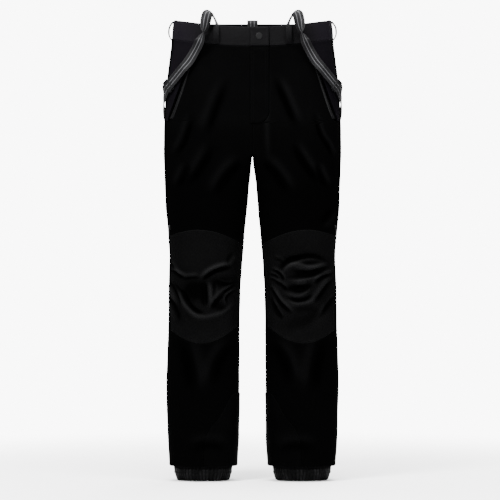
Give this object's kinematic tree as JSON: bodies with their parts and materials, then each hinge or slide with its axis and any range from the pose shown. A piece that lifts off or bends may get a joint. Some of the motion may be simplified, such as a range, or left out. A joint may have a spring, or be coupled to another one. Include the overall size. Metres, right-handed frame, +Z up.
{
  "type": "mountain trousers",
  "caption": "Full-length soft-shell trousers with a snap waistband, fly, zipped pockets and vents, woven knee and ankle panels, elastic inner gaiters and stretch braces.",
  "frame": {"origin": "middle of the waist opening, midway in height between the top edge at the sides and its dip at the front", "axes": "+Z up out of the waist opening, the front of the trousers faces -Y, the wearer's left is +X"},
  "size_m": [0.4764, 0.2449, 1.2156],
  "materials": {
    "soft_shell": "matt brushed stretch soft shell",
    "band_cloth": "smooth matt stretch weave",
    "lining": "thin soft lining cloth",
    "woven_patch": "tight plain weave with a slight sheen",
    "zip_tape": "woven tape with a laminated face",
    "zip_slider": "satin black",
    "zip_pull": "matt moulded",
    "snap_metal": "matt gunmetal",
    "webbing": "knitted elastic with two light stripes",
    "yoke_cloth": "matt backing cloth",
    "adjuster_plastic": "satin moulded",
    "elastic": "gathered knitted elastic"
  },
  "bodies": {
    "trousers": {"belt_loops": "band_cloth", "brace_anchors": "yoke_cloth", "brace_centre_strap": "webbing", "brace_left": "webbing", "brace_right": "webbing", "brace_yoke": "yoke_cloth", "fly_shield": "soft_shell", "fly_zip": "zip_tape", "front_panel_left": "soft_shell", "front_panel_right": "soft_shell", "hip_panel_left": "soft_shell", "hip_panel_right": "soft_shell", "knee_back_panel_left": "soft_shell", "knee_back_panel_right": "soft_shell", "knee_panel_left": "woven_patch", "knee_panel_right": "woven_patch", "pocket_bag_left": "lining", "pocket_bag_right": "lining", "pocket_zip_left": "zip_tape", "pocket_zip_right": "zip_tape", "seat_panel_left": "soft_shell", "seat_panel_right": "soft_shell", "snap_rivet": "snap_metal", "snap_stud": "snap_metal", "vent_zip_left": "zip_tape", "vent_zip_right": "zip_tape", "waistband": "band_cloth", "waistband_lining": "lining"},
    "fly_front": {"waist_tab": "band_cloth", "fly_flap": "soft_shell", "snap_cap": "snap_metal", "snap_socket": "snap_metal"},
    "fly_zip_slider": {"fly_slider": "zip_slider", "fly_pull": "zip_pull"},
    "pocket_zip_slider_left": {"pocket_slider_left": "zip_slider", "pocket_pull_left": "zip_pull"},
    "vent_zip_slider_left": {"vent_slider_left": "zip_slider"},
    "vent_zip_pull_left": {"vent_pull_left": "zip_pull"},
    "adjuster_left": {"brace_adjuster_left": "adjuster_plastic"},
    "lower_leg_left": {"shin_panel_left": "soft_shell", "calf_panel_left": "soft_shell", "ankle_guard_left": "woven_patch", "hem_facing_left": "soft_shell", "gaiter_left": "lining", "gaiter_elastic_left": "elastic"},
    "pocket_zip_slider_right": {"pocket_slider_right": "zip_slider", "pocket_pull_right": "zip_pull"},
    "vent_zip_slider_right": {"vent_slider_right": "zip_slider"},
    "vent_zip_pull_right": {"vent_pull_right": "zip_pull"},
    "adjuster_right": {"brace_adjuster_right": "adjuster_plastic"},
    "lower_leg_right": {"shin_panel_right": "soft_shell", "calf_panel_right": "soft_shell", "ankle_guard_right": "woven_patch", "hem_facing_right": "soft_shell", "gaiter_right": "lining", "gaiter_elastic_right": "elastic"}
  },
  "joints": [
    {"name": "fly_front_fold", "type": "hinge", "parent": "trousers", "child": "fly_front", "pos_m": [0.042, -0.08438, 0.00043], "axis": [0, 0.0975, 0.9952], "range_deg": [0, 100]},
    {"name": "fly_zip_run", "type": "slide", "parent": "trousers", "child": "fly_zip_slider", "axis": [0, -0.0975, -0.9952], "range_m": [0, 0.162]},
    {"name": "pocket_zip_run_left", "type": "slide", "parent": "trousers", "child": "pocket_zip_slider_left", "axis": [0.3379, 0.1521, -0.9288], "range_m": [0, 0.1178]},
    {"name": "vent_zip_run_left", "type": "slide", "parent": "trousers", "child": "vent_zip_slider_left", "axis": [0.0368, -0.0008, 0.9993], "range_m": [0, 0.2662]},
    {"name": "vent_pull_swing_left", "type": "hinge", "parent": "vent_zip_slider_left", "child": "vent_zip_pull_left", "pos_m": [0.21616, -0.03226, -0.52615], "axis": [-0.319, -0.9477, 0.011], "range_deg": [0, 165]},
    {"name": "adjuster_run_left", "type": "slide", "parent": "trousers", "child": "adjuster_left", "axis": [-0.595, -0.4252, 0.682], "range_m": [0, 0.034]},
    {"name": "knee_bend_left", "type": "hinge", "parent": "trousers", "child": "lower_leg_left", "pos_m": [0.1245, -0.005, -0.679], "axis": [1, 0, 0], "range_deg": [0, 90], "deforming": ["knee_panel_left", "knee_back_panel_left"]},
    {"name": "pocket_zip_run_right", "type": "slide", "parent": "trousers", "child": "pocket_zip_slider_right", "axis": [-0.3379, 0.1521, -0.9288], "range_m": [0, 0.1178]},
    {"name": "vent_zip_run_right", "type": "slide", "parent": "trousers", "child": "vent_zip_slider_right", "axis": [-0.0368, -0.0008, 0.9993], "range_m": [0, 0.2662]},
    {"name": "vent_pull_swing_right", "type": "hinge", "parent": "vent_zip_slider_right", "child": "vent_zip_pull_right", "pos_m": [-0.21616, -0.03226, -0.52615], "axis": [-0.319, 0.9477, -0.011], "range_deg": [0, 165]},
    {"name": "adjuster_run_right", "type": "slide", "parent": "trousers", "child": "adjuster_right", "axis": [0.595, -0.4252, 0.682], "range_m": [0, 0.034]},
    {"name": "knee_bend_right", "type": "hinge", "parent": "trousers", "child": "lower_leg_right", "pos_m": [-0.1245, -0.005, -0.679], "axis": [1, 0, 0], "range_deg": [0, 90], "deforming": ["knee_panel_right", "knee_back_panel_right"]}
  ]
}
